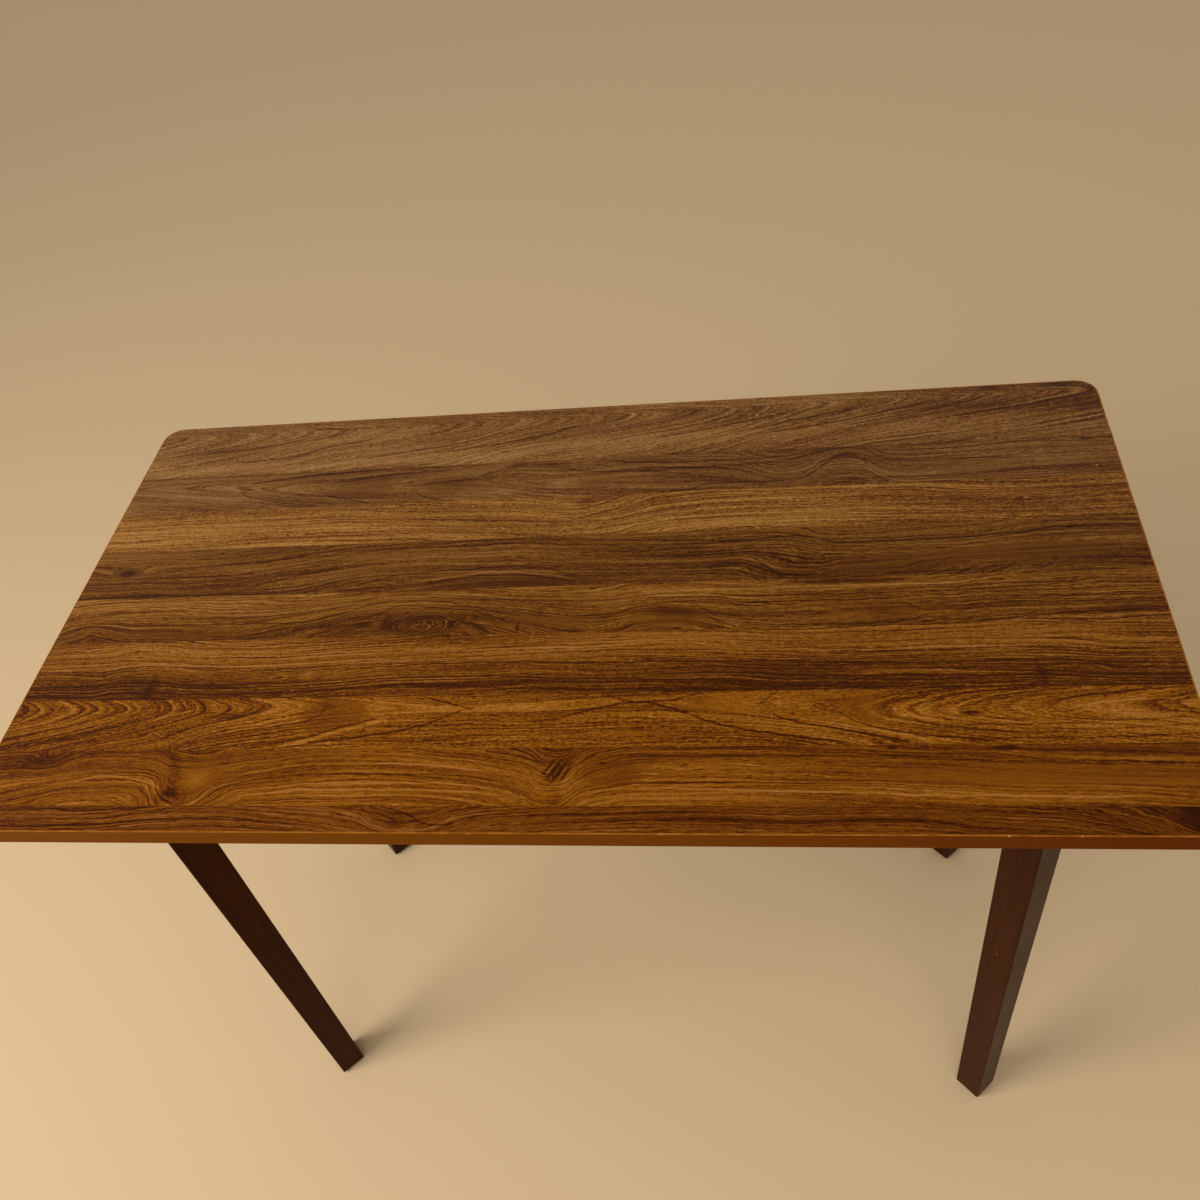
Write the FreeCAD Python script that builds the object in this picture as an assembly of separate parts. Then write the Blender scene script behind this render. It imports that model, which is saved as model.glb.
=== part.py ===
import FreeCAD, Part
import math
import os

from FreeCAD import Vector

# A small fixed dining table, in millimetres.
# Origin on the floor under the middle of the top, +X along the top, +Y to the back, +Z up.

# Top: a wood-fibre core between two thin sheets, with a band glued round the edge.
table_height = 762.0
top_length = 1067.0
top_width = 565.0
top_thickness = 18.0
top_corner_radius = 22.0
face_sheet_thickness = 0.6
backer_sheet_thickness = 0.6
edge_band_thickness = 1.5
edge_band_arris_radius = 0.8

# Legs: square, turned 45 degrees, straight at the head and tapered below it.
leg_inset = 110.0
leg_head_side = 40.0
leg_foot_side = 33.0
leg_head_height = 70.0
leg_edge_radius = 2.0
leg_foot_chamfer = 1.0
leg_turn = 45.0

# Frame under the top: four aprons, four corner braces set across the corners, one centre rail.
frame_board_thickness = 18.0
apron_depth = 64.0
corner_brace_length = 120.0
centre_rail_depth = 45.0
frame_edge_round = 1.0

# Hanger bolts (M8), two to a leg, with a flat washer, a split washer and a nut on each.
bolt_radius = 4.0
bolt_leg_depth = 25.0
bolt_spacing = 26.0
bolt_tail = 3.0
bolt_point_length = 5.0
bolt_tail_chamfer = 0.8
bolt_brace_clearance = 0.4
flat_washer_radius = 8.0
flat_washer_thickness = 1.6
flat_washer_clearance = 0.2
split_washer_radius = 6.6
split_washer_thickness = 2.0
split_washer_gap = 1.2
nut_across_flats = 13.0
nut_height = 6.5
nut_corner_chamfer = 0.7

# Dowels in the mitred corners of the frame and at the ends of the centre rail.
dowel_radius = 3.0
dowel_length = 22.0
dowel_end_chamfer = 0.6
mitre_dowel_spacing = 34.0
rail_dowel_spacing = 20.0

# Angle brackets that hold the top to the aprons, each with two pan-head screws.
bracket_leg = 25.0
bracket_width = 16.0
bracket_thickness = 2.0
bracket_bend_radius = 3.0
bracket_hole_from_corner = 15.0
bracket_hole_clearance = 0.2
bracket_corner_round = 3.0
brackets_per_half_apron = 2
bracket_end_gap = 66.0
screw_radius = 2.0
screw_bite = 10.0
screw_point_length = 3.0
screw_head_radius = 3.6
screw_head_height = 2.2
screw_head_round = 1.4
screw_recess_length = 4.0
screw_recess_width = 0.9
screw_recess_depth = 1.3

# Foot pads, each held by one nail.
pad_side = 27.0
pad_thickness = 3.0
pad_corner_radius = 3.0
pad_edge_chamfer = 0.5
nail_radius = 1.0
nail_bite = 14.0
nail_head_radius = 3.0
nail_head_thickness = 1.0
nail_head_recess = 1.2
nail_head_clearance = 0.15

# Clearance of a tight round fit: bolts, nuts, dowels, screws and nails in their holes.
tight_clearance = 0.05

# Places that follow from the sizes above.
root_two = math.sqrt(2.0)
up = Vector(0, 0, 1)
top_underside = table_height - top_thickness
core_length = top_length - 2 * edge_band_thickness
core_width = top_width - 2 * edge_band_thickness
core_corner_radius = top_corner_radius - edge_band_thickness
core_bottom = top_underside + backer_sheet_thickness
core_thickness = top_thickness - face_sheet_thickness - backer_sheet_thickness
frame_bottom = top_underside - apron_depth
frame_middle = top_underside - apron_depth / 2
leg_x = top_length / 2 - leg_inset
leg_y = top_width / 2 - leg_inset
corner_cut = corner_brace_length / root_two
leg_reach = leg_head_side / 2 / root_two
frame_half_length = leg_x - leg_reach + corner_cut / 2
frame_half_width = leg_y - leg_reach + corner_cut / 2
mitre_run = frame_board_thickness * math.tan(math.radians(22.5))
inner_half_length = frame_half_length - frame_board_thickness
inner_half_width = frame_half_width - frame_board_thickness
long_apron_half = frame_half_length - corner_cut
short_apron_half = frame_half_width - corner_cut
stack_on_bolt = flat_washer_thickness + split_washer_thickness + nut_height

corners = {
    "front_left": (-1, -1),
    "front_right": (1, -1),
    "back_left": (-1, 1),
    "back_right": (1, 1),
}


def rounded_rectangle(length, width, radius, z):
    """Closed outline of a rectangle with round corners, centred on the Z axis."""
    edges = []
    across = length / 2 - radius
    along = width / 2 - radius
    previous_end = Vector(across + radius, -along, z)
    for quarter, (side_x, side_y) in enumerate([(1, 1), (-1, 1), (-1, -1), (1, -1)]):
        centre = Vector(side_x * across, side_y * along, z)
        circle = Part.Circle(centre, up, radius)
        start = quarter * math.pi / 2
        arc = Part.Arc(circle, start, start + math.pi / 2).toShape()
        edges.append(Part.makeLine(previous_end, arc.Vertexes[0].Point))
        edges.append(arc)
        previous_end = arc.Vertexes[1].Point
    return Part.Wire(edges)


def rounded_board(length, width, radius, bottom, thickness):
    """Flat board with round corners in plan."""
    outline = rounded_rectangle(length, width, radius, bottom)
    return Part.Face(outline).extrude(up * thickness)


def plan_board(points, bottom, depth):
    """Upright board whose plan is the polygon of the given points."""
    outline = Part.makePolygon([Vector(x, y, bottom) for x, y in points + points[:1]])
    board = Part.Face(outline).extrude(up * depth)
    lower_edges = [edge for edge in board.Edges if edge.BoundBox.ZMax < bottom + frame_edge_round]
    long_edges = [edge for edge in lower_edges if edge.Length > 2 * frame_board_thickness]
    return board.makeFillet(frame_edge_round, long_edges)


def drill(body, radius, depth, mouth, direction):
    """Body with a round hole of the given depth, cut from its mouth along direction."""
    return body.cut(Part.makeCylinder(radius, depth, mouth, direction))


def outward(side_x, side_y):
    """Direction from the middle of the table out through a corner."""
    return Vector(side_x, side_y, 0).normalize()


def brace_face(side_x, side_y, z):
    """Middle of the outer face of a corner brace, which the leg is bolted to."""
    x = side_x * (frame_half_length - corner_cut / 2)
    y = side_y * (frame_half_width - corner_cut / 2)
    return Vector(x, y, z)


def bolt_heights():
    """Heights of the two bolts in each leg."""
    return [frame_middle + bolt_spacing / 2, frame_middle - bolt_spacing / 2]


def mitre_dowels():
    """Middle and direction of each dowel in the mitred corners of the frame."""
    places = []
    for side_x, side_y in corners.values():
        to_long = Vector(-side_x * math.cos(math.pi / 8), side_y * math.sin(math.pi / 8), 0)
        to_short = Vector(side_x * math.sin(math.pi / 8), -side_y * math.cos(math.pi / 8), 0)
        long_x = side_x * (long_apron_half - mitre_run / 2)
        long_y = side_y * (frame_half_width - frame_board_thickness / 2)
        short_x = side_x * (frame_half_length - frame_board_thickness / 2)
        short_y = side_y * (short_apron_half - mitre_run / 2)
        for z in (frame_middle - mitre_dowel_spacing / 2, frame_middle + mitre_dowel_spacing / 2):
            places.append((Vector(long_x, long_y, z), to_long))
            places.append((Vector(short_x, short_y, z), to_short))
    return places


def rail_dowels():
    """Middle and direction of each dowel at the ends of the centre rail."""
    middle = top_underside - centre_rail_depth / 2
    heights = (middle - rail_dowel_spacing / 2, middle + rail_dowel_spacing / 2)
    return [(Vector(0, side * inner_half_width, z), Vector(0, side, 0)) for side in (-1, 1) for z in heights]


def bracket_places():
    """Corner point under the top and inward direction of each angle bracket."""
    outer = long_apron_half - bracket_end_gap
    gaps = 2 * brackets_per_half_apron - 1
    places = []
    for side_y in (-1, 1):
        for side_x in (-1, 1):
            for step in range(brackets_per_half_apron):
                x = side_x * outer * (2 * step + 1) / gaps
                places.append((Vector(x, side_y * inner_half_width, top_underside), Vector(0, -side_y, 0)))
    for side_x in (-1, 1):
        places.append((Vector(side_x * inner_half_length, 0, top_underside), Vector(-side_x, 0, 0)))
    return places


def drill_for_dowels(body, places):
    """Body with the holes of the dowels that reach into it."""
    for middle, direction in places:
        mouth = middle - direction * (dowel_length / 2)
        body = drill(body, dowel_radius + tight_clearance, dowel_length, mouth, direction)
    return body


def drill_for_bracket_screws(body):
    """Body with the pilot holes of the bracket screws, both the upright and the level ones."""
    radius = screw_radius + tight_clearance
    for corner, inward in bracket_places():
        under_top = corner + inward * bracket_hole_from_corner
        on_apron = corner - up * bracket_hole_from_corner
        body = drill(body, radius, screw_bite, under_top, up)
        body = drill(body, radius, screw_bite, on_apron, -inward)
    return body


def top_core():
    board = rounded_board(core_length, core_width, core_corner_radius, core_bottom, core_thickness)
    return drill_for_bracket_screws(board)


def walnut_face_sheet():
    bottom = table_height - face_sheet_thickness
    return rounded_board(core_length, core_width, core_corner_radius, bottom, face_sheet_thickness)


def underside_backer_sheet():
    sheet = rounded_board(
        core_length, core_width, core_corner_radius, top_underside, backer_sheet_thickness)
    return drill_for_bracket_screws(sheet)


def edge_band():
    outside = rounded_board(top_length, top_width, top_corner_radius, top_underside, top_thickness)
    rim = [edge for edge in outside.Edges if edge.BoundBox.ZLength < edge_band_arris_radius]
    outside = outside.makeFillet(edge_band_arris_radius, rim)
    inside = rounded_board(core_length, core_width, core_corner_radius, top_underside, top_thickness)
    return outside.cut(inside)


def long_apron(side_y):
    inner_end = long_apron_half - mitre_run
    points = [
        (-long_apron_half, side_y * frame_half_width),
        (long_apron_half, side_y * frame_half_width),
        (inner_end, side_y * inner_half_width),
        (-inner_end, side_y * inner_half_width),
    ]
    board = plan_board(points, frame_bottom, apron_depth)
    return drill_for_bracket_screws(drill_for_dowels(board, mitre_dowels() + rail_dowels()))


def short_apron(side_x):
    inner_end = short_apron_half - mitre_run
    points = [
        (side_x * frame_half_length, -short_apron_half),
        (side_x * frame_half_length, short_apron_half),
        (side_x * inner_half_length, inner_end),
        (side_x * inner_half_length, -inner_end),
    ]
    board = plan_board(points, frame_bottom, apron_depth)
    return drill_for_bracket_screws(drill_for_dowels(board, mitre_dowels()))


def corner_brace(side_x, side_y):
    points = [
        (side_x * long_apron_half, side_y * frame_half_width),
        (side_x * frame_half_length, side_y * short_apron_half),
        (side_x * inner_half_length, side_y * (short_apron_half - mitre_run)),
        (side_x * (long_apron_half - mitre_run), side_y * inner_half_width),
    ]
    board = drill_for_dowels(plan_board(points, frame_bottom, apron_depth), mitre_dowels())
    for z in bolt_heights():
        mouth = brace_face(side_x, side_y, z)
        radius = bolt_radius + bolt_brace_clearance
        board = drill(board, radius, frame_board_thickness, mouth, -outward(side_x, side_y))
    return board


def centre_rail():
    half = frame_board_thickness / 2
    points = [
        (-half, -inner_half_width),
        (half, -inner_half_width),
        (half, inner_half_width),
        (-half, inner_half_width),
    ]
    board = plan_board(points, top_underside - centre_rail_depth, centre_rail_depth)
    return drill_for_dowels(board, rail_dowels())


def leg(side_x, side_y):
    """Tapered leg with the holes for its two bolts and for the nail of its foot pad."""
    cut_side = leg_foot_side - 2 * leg_foot_chamfer
    levels = [
        (pad_thickness, cut_side),
        (pad_thickness + leg_foot_chamfer, leg_foot_side),
        (top_underside - leg_head_height, leg_head_side),
        (top_underside, leg_head_side),
    ]
    outlines = [rounded_rectangle(side, side, leg_edge_radius, z) for z, side in levels]
    body = Part.makeLoft(outlines, True, True)
    body.rotate(Vector(0, 0, 0), up, leg_turn)
    body.translate(Vector(side_x * leg_x, side_y * leg_y, 0))
    for z in bolt_heights():
        mouth = brace_face(side_x, side_y, z)
        body = drill(body, bolt_radius + tight_clearance, bolt_leg_depth, mouth, outward(side_x, side_y))
    nail_mouth = Vector(side_x * leg_x, side_y * leg_y, pad_thickness)
    return drill(body, nail_radius + tight_clearance, nail_bite, nail_mouth, up)


def hanger_bolt(mouth, into_leg):
    """Headless bolt: a pointed wood thread in the leg and a plain end through the brace."""
    inner_length = frame_board_thickness + stack_on_bolt + bolt_tail
    tail = mouth - into_leg * inner_length
    straight = inner_length + bolt_leg_depth - bolt_point_length
    shank = Part.makeCylinder(bolt_radius, straight, tail, into_leg)
    rims = [edge for edge in shank.Edges if edge.Curve.TypeId == "Part::GeomCircle"]
    near_tail = min(rims, key=lambda edge: edge.Curve.Center.distanceToPoint(tail))
    shank = shank.makeChamfer(bolt_tail_chamfer, [near_tail])
    point_start = tail + into_leg * straight
    point = Part.makeCone(bolt_radius, bolt_radius / 3, bolt_point_length, point_start, into_leg)
    return shank.fuse(point).removeSplitter()


def flat_washer(seat, inward):
    disc = Part.makeCylinder(flat_washer_radius, flat_washer_thickness, seat, inward)
    return drill(disc, bolt_radius + flat_washer_clearance, flat_washer_thickness, seat, inward)


def split_washer(seat, inward):
    """Spring washer, cut through once at its top."""
    disc = Part.makeCylinder(split_washer_radius, split_washer_thickness, seat, inward)
    ring = drill(disc, bolt_radius + flat_washer_clearance, split_washer_thickness, seat, inward)
    gap = Part.makeBox(split_washer_thickness, split_washer_gap, split_washer_radius)
    gap.translate(Vector(0, -split_washer_gap / 2, 0))
    gap.rotate(Vector(0, 0, 0), up, math.degrees(math.atan2(inward.y, inward.x)))
    gap.translate(seat)
    return ring.cut(gap)


def hex_nut(seat, inward):
    """Nut with its corners turned off at both ends and a round hole."""
    corner_radius = nut_across_flats / math.sqrt(3.0)
    points = []
    for corner in range(7):
        angle = math.radians(60 * corner)
        points.append(Vector(corner_radius * math.cos(angle), corner_radius * math.sin(angle), 0))
    prism = Part.Face(Part.makePolygon(points)).extrude(up * nut_height)
    turned = Part.makeCylinder(corner_radius, nut_height)
    turned = turned.makeChamfer(nut_corner_chamfer, [turned.Edges[0], turned.Edges[2]])
    nut = prism.common(turned)
    nut = drill(nut, bolt_radius + tight_clearance, nut_height, Vector(0, 0, 0), up)
    nut.Placement = FreeCAD.Placement(seat, FreeCAD.Rotation(up, inward))
    return nut


def dowel(middle, direction):
    start = middle - direction * (dowel_length / 2)
    body = Part.makeCylinder(dowel_radius, dowel_length, start, direction)
    rims = [edge for edge in body.Edges if edge.Closed]
    return body.makeChamfer(dowel_end_chamfer, rims)


def angle_bracket(corner, inward):
    """Bent steel angle: one leg lies under the top, the other on the apron."""
    across = inward.cross(up)
    half_width = across * (bracket_width / 2)
    level = Part.makePolygon([
        corner - half_width,
        corner - half_width + inward * bracket_leg,
        corner - half_width + inward * bracket_leg - up * bracket_thickness,
        corner - half_width + inward * bracket_thickness - up * bracket_thickness,
        corner - half_width + inward * bracket_thickness - up * bracket_leg,
        corner - half_width - up * bracket_leg,
        corner - half_width,
    ])
    body = Part.Face(level).extrude(half_width * 2)
    body = body.makeFillet(bracket_bend_radius, edges_through(body, corner, across))
    inner_corner = corner + inward * bracket_thickness - up * bracket_thickness
    body = body.makeFillet(bracket_bend_radius / 2, edges_through(body, inner_corner, across))
    ends = []
    for side in (-1, 1):
        level_end = corner + inward * bracket_leg + half_width * side
        lower_end = corner - up * bracket_leg + half_width * side
        ends += edges_through(body, level_end, up) + edges_through(body, lower_end, inward)
    body = body.makeFillet(bracket_corner_round, ends)
    radius = screw_radius + bracket_hole_clearance
    level_hole = corner + inward * bracket_hole_from_corner - up * bracket_thickness
    lower_hole = corner - up * bracket_hole_from_corner
    body = drill(body, radius, bracket_thickness, level_hole, up)
    return drill(body, radius, bracket_thickness, lower_hole, inward)


def edges_through(body, point, direction):
    """Straight edges of a body that run along direction through a point."""
    found = []
    for edge in body.Edges:
        ends = [vertex.Point for vertex in edge.Vertexes]
        if len(ends) < 2 or edge.Curve.TypeId != "Part::GeomLine":
            continue
        along = (ends[1] - ends[0]).normalize()
        offset = (point - ends[0]).cross(along).Length
        if abs(abs(along.dot(direction)) - 1) < 1e-6 and offset < 1e-6:
            found.append(edge)
    return found


def pan_head_screw(seat, direction):
    """Screw that goes in along direction, with its head resting on the bracket at seat."""
    head = Part.makeCylinder(screw_head_radius, screw_head_height)
    rims = [edge for edge in head.Edges if edge.Closed and edge.BoundBox.ZMax < screw_head_round]
    head = head.makeFillet(screw_head_round, rims)
    half_length = screw_recess_length / 2
    half_width = screw_recess_width / 2
    slot = Part.makeBox(
        screw_recess_length, screw_recess_width, screw_recess_depth, Vector(-half_length, -half_width, 0))
    cross_slot = Part.makeBox(
        screw_recess_width, screw_recess_length, screw_recess_depth, Vector(-half_width, -half_length, 0))
    head = head.cut(slot.fuse(cross_slot))
    shank_length = bracket_thickness + screw_bite - screw_point_length
    shank = Part.makeCylinder(screw_radius, shank_length, Vector(0, 0, screw_head_height))
    point_base = Vector(0, 0, screw_head_height + shank_length)
    point = Part.makeCone(screw_radius, screw_radius / 4, screw_point_length, point_base, up)
    screw = head.fuse([shank, point]).removeSplitter()
    screw.translate(Vector(0, 0, -screw_head_height))
    screw.Placement = FreeCAD.Placement(seat, FreeCAD.Rotation(up, direction)).multiply(screw.Placement)
    return screw


def foot_pad(side_x, side_y):
    outline = rounded_rectangle(pad_side, pad_side, pad_corner_radius, 0)
    pad = Part.Face(outline).extrude(up * pad_thickness)
    lower = [edge for edge in pad.Edges if edge.BoundBox.ZMax < pad_edge_chamfer]
    pad = pad.makeChamfer(pad_edge_chamfer, lower)
    pad = drill(pad, nail_head_radius + nail_head_clearance, nail_head_recess, Vector(0, 0, 0), up)
    pad = drill(pad, nail_radius + tight_clearance, pad_thickness, Vector(0, 0, 0), up)
    pad.rotate(Vector(0, 0, 0), up, leg_turn)
    pad.translate(Vector(side_x * leg_x, side_y * leg_y, 0))
    return pad


def foot_nail(side_x, side_y):
    head_bottom = nail_head_recess - nail_head_thickness
    place = Vector(side_x * leg_x, side_y * leg_y, head_bottom)
    head = Part.makeCylinder(nail_head_radius, nail_head_thickness, place)
    shank_length = pad_thickness - nail_head_recess + nail_bite
    shank = Part.makeCylinder(nail_radius, shank_length, place + up * nail_head_thickness)
    return head.fuse(shank).removeSplitter()


def bolt_places():
    """Mouth of each bolt hole on a brace face, with the direction into the leg."""
    return [
        (brace_face(side_x, side_y, z), outward(side_x, side_y))
        for side_x, side_y in corners.values()
        for z in bolt_heights()
    ]


def bolt_hardware():
    """Bolts, washers and nuts of all four legs, as one list of solids for each kind."""
    kinds = {"hanger_bolts": [], "flat_washers": [], "split_washers": [], "hex_nuts": []}
    for mouth, into_leg in bolt_places():
        inner_face = mouth - into_leg * frame_board_thickness
        on_flat = inner_face - into_leg * flat_washer_thickness
        on_split = on_flat - into_leg * split_washer_thickness
        kinds["hanger_bolts"].append(hanger_bolt(mouth, into_leg))
        kinds["flat_washers"].append(flat_washer(inner_face, -into_leg))
        kinds["split_washers"].append(split_washer(on_flat, -into_leg))
        kinds["hex_nuts"].append(hex_nut(on_split, -into_leg))
    return kinds


def bracket_hardware():
    """Brackets and their screws, as one list of solids for each kind."""
    kinds = {"angle_brackets": [], "top_screws": [], "apron_screws": []}
    for corner, inward in bracket_places():
        below = corner + inward * bracket_hole_from_corner - up * bracket_thickness
        beside = corner - up * bracket_hole_from_corner + inward * bracket_thickness
        kinds["angle_brackets"].append(angle_bracket(corner, inward))
        kinds["top_screws"].append(pan_head_screw(below, up))
        kinds["apron_screws"].append(pan_head_screw(beside, -inward))
    return kinds


def table():
    """Every piece of the table, as its name and its solids."""
    pieces = {
        "top_core": [top_core()],
        "walnut_face_sheet": [walnut_face_sheet()],
        "underside_backer_sheet": [underside_backer_sheet()],
        "edge_band": [edge_band()],
        "front_apron": [long_apron(-1)],
        "back_apron": [long_apron(1)],
        "left_apron": [short_apron(-1)],
        "right_apron": [short_apron(1)],
        "centre_rail": [centre_rail()],
        "corner_dowels": [dowel(middle, direction) for middle, direction in mitre_dowels()],
        "centre_rail_dowels": [dowel(middle, direction) for middle, direction in rail_dowels()],
        "foot_pad_nails": [foot_nail(side_x, side_y) for side_x, side_y in corners.values()],
    }
    for name, (side_x, side_y) in corners.items():
        pieces[name + "_leg"] = [leg(side_x, side_y)]
        pieces[name + "_corner_brace"] = [corner_brace(side_x, side_y)]
        pieces[name + "_foot_pad"] = [foot_pad(side_x, side_y)]
    pieces.update(bolt_hardware())
    pieces.update(bracket_hardware())
    return pieces


os.makedirs("parts", exist_ok=True)
for piece_name, solids in table().items():
    shape = solids[0] if len(solids) == 1 else Part.makeCompound(solids)
    shape.exportStep("parts/" + piece_name + ".step")
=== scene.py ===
import bmesh
import bpy
import math
from mathutils import Matrix, Quaternion, Vector


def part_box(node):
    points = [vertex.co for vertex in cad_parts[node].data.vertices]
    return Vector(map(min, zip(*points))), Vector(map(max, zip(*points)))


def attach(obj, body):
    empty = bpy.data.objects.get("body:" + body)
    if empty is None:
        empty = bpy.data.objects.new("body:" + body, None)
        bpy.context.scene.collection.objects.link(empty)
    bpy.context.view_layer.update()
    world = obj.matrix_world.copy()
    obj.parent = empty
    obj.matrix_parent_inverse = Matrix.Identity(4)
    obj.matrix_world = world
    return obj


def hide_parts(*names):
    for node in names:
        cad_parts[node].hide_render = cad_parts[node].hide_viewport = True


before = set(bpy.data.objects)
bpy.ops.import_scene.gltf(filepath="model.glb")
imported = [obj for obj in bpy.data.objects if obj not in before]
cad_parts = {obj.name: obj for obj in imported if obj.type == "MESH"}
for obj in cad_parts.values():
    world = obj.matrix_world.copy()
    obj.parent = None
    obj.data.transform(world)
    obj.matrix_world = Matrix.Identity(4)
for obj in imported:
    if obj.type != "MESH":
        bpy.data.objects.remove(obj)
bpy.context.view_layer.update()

scene = bpy.context.scene
scene.view_settings.view_transform = "Standard"

# ------------------------------------------------------------------------------
# View: from head height in front of the table, looking down on it and turned a little to the
# left, through a moderately wide lens.
camera_place = Vector((0.2057, -0.7794, 1.5620))
camera_target = Vector((0.0258, -0.0224, 0.7620))
camera_roll = math.radians(-11.28)
camera_lens = 34.82
camera_sensor = 36.0

camera_data = bpy.data.cameras.new("view")
camera_data.lens = camera_lens
camera_data.sensor_width = camera_sensor
camera = bpy.data.objects.new("view", camera_data)
camera.location = camera_place
camera.rotation_mode = "QUATERNION"
looking = (camera_target - camera_place).to_track_quat("-Z", "Y")
camera.rotation_quaternion = looking @ Quaternion((0.0, 0.0, 1.0), camera_roll)
scene.collection.objects.link(camera)
scene.camera = camera


# ------------------------------------------------------------------------------
# Floor and light: a plain pale floor, wide soft light from the front left, a lamp in front, and an
# even room round it all. The room is seen pale, lights the table more softly, and is mirrored
# with pale walls and a dimmer ceiling.
floor_half_size = 9.0
floor_colour = (0.62, 0.435, 0.245)
floor_roughness = 0.6
floor_gloss = 0.05
room_colour = (0.80, 0.79, 0.76)
room_seen_strength = 1.0
room_light_strength = 0.50
ceiling_strength = 0.08
wall_top_slope = 0.55
ceiling_slope = 0.92
window_direction = Vector((-0.50, -0.75, 1.30))
window_spread = math.radians(70.0)
window_strength = 0.60
side_lamp_place = Vector((-2.1, -1.3, 2.1))
side_lamp_size = 1.6
side_lamp_power = 63.0
front_lamp_place = Vector((0.3, -1.8, 2.4))
front_lamp_size = 1.8
front_lamp_power = 12.0
lamp_target = Vector((0.0, 0.0, 0.7))
LINEAR = "LINEAR"


def place(tree, kind, inputs=None, **settings):
    """One shader node, with its settings and a link or a value for each input that is given."""
    node = tree.nodes.new("ShaderNode" + kind)
    for name, value in settings.items():
        setattr(node, name, value)
    for socket, value in (inputs or {}).items():
        if isinstance(value, bpy.types.NodeSocket):
            tree.links.new(value, node.inputs[socket])
        else:
            node.inputs[socket].default_value = value
    return node


def calc(tree, operation, *values):
    """Number worked out from one, two or three others."""
    return place(tree, "Math", dict(enumerate(values)), operation=operation).outputs[0]


def remap(tree, value, low, high, first=0.0, last=1.0, fall=LINEAR):
    """Number that runs from the first to the last one while a value runs from low to high."""
    node = place(tree, "MapRange", {0: value, 1: low, 2: high, 3: first, 4: last},
                 interpolation_type=fall)
    return node.outputs[0]


def new_material(name, roughness, gloss=0.5):
    """Material with its shader, as the material, its node tree and the shader."""
    material = bpy.data.materials.new(name)
    material.use_nodes = True
    shader = material.node_tree.nodes["Principled BSDF"]
    shader.inputs["Roughness"].default_value = roughness
    shader.inputs["Specular IOR Level"].default_value = gloss
    return material, material.node_tree, shader


def make_object(name, mesh, materials):
    """Object at the origin that shows a mesh with the given materials."""
    for material in materials:
        mesh.materials.append(material)
    piece = bpy.data.objects.new(name, mesh)
    scene.collection.objects.link(piece)
    return piece


def mesh_from(edit, name):
    """Mesh made from a bmesh, which is freed."""
    mesh = bpy.data.meshes.new(name)
    edit.to_mesh(mesh)
    edit.free()
    return mesh


def add_lamp(name, data, place_at, direction):
    """Lamp at a place, shining along a direction."""
    lamp = bpy.data.objects.new(name, data)
    lamp.location = place_at
    lamp.rotation_mode = "QUATERNION"
    lamp.rotation_quaternion = direction.to_track_quat("-Z", "Y")
    scene.collection.objects.link(lamp)


def add_disk_lamp(name, place_at, size, power):
    """Round soft lamp aimed at the table."""
    data = bpy.data.lights.new(name, "AREA")
    data.shape = "DISK"
    data.size = size
    data.energy = power
    add_lamp(name, data, place_at, lamp_target - place_at)


floor_edit = bmesh.new()
bmesh.ops.create_grid(floor_edit, x_segments=1, y_segments=1, size=floor_half_size)
floor_material, floor_tree, floor_shader = new_material("pale_floor", floor_roughness, floor_gloss)
floor_shader.inputs["Base Color"].default_value = (*floor_colour, 1.0)
floor_side = place(floor_tree, "NewGeometry")
floor_clear = place(floor_tree, "BsdfTransparent")
floor_mix = place(floor_tree, "MixShader", {
    0: floor_side.outputs["Backfacing"], 1: floor_shader.outputs[0], 2: floor_clear.outputs[0]})
floor_tree.links.new(floor_mix.outputs[0], floor_tree.nodes["Material Output"].inputs["Surface"])
floor = make_object("floor", mesh_from(floor_edit, "floor"), [floor_material])

world = bpy.data.worlds.new("room")
scene.world = world
world.use_nodes = True
world_tree = world.node_tree
rays = place(world_tree, "LightPath").outputs
room_way = place(world_tree, "TexCoord").outputs["Generated"]
room_slope = place(world_tree, "SeparateXYZ", {0: room_way}).outputs["Z"]
mirrored = remap(world_tree, room_slope, wall_top_slope, ceiling_slope, room_seen_strength, ceiling_strength)
unseen = remap(world_tree, rays["Is Glossy Ray"], 0.0, 1.0, room_light_strength, mirrored)
is_seen = calc(world_tree, "MAXIMUM", rays["Is Camera Ray"], rays["Is Transmission Ray"])
room_light = world_tree.nodes["Background"]
room_light.inputs["Color"].default_value = (*room_colour, 1.0)
world_tree.links.new(remap(world_tree, is_seen, 0.0, 1.0, unseen, room_seen_strength),
                     room_light.inputs["Strength"])

window_data = bpy.data.lights.new("window_light", "SUN")
window_data.angle = window_spread
window_data.energy = window_strength
add_lamp("window_light", window_data, window_direction, -window_direction)
add_disk_lamp("side_lamp", side_lamp_place, side_lamp_size, side_lamp_power)
add_disk_lamp("front_lamp", front_lamp_place, front_lamp_size, front_lamp_power)


# ------------------------------------------------------------------------------
# Walnut face sheet: one thin decor laminate on the board, printed as nine walnut strips that
# run along the table. Each strip has its own tone, lie of the grain, knots and stains.
# The strips are given in millimetres: places, half sizes and lifts of the grain.
mm = 0.001
sheet_low, sheet_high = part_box("walnut_face_sheet")
sheet_corner_radius = 20.5 * mm
sheet_corner_steps = 12
sheet_roughness = 0.34
sheet_gloss = 0.06
sheet_relief = 0.25
sheet_relief_depth = 0.4 * mm
SMOOTH = "SMOOTHSTEP"

# Colours of the wood as shares of a strip's middle colour, and the tones they stand for.
deep_share = (0.5, 0.5, 0.5)
dark_share = (0.49, 0.352, 0.20)
light_share = (1.52, 1.90, 2.60)
glint_share = (1.98, 2.60, 3.40)
glint_bloom = (0.0, 0.0, 0.020)
tone_stops = (0.0, 0.24, 0.5, 0.78, 1.0)

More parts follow.
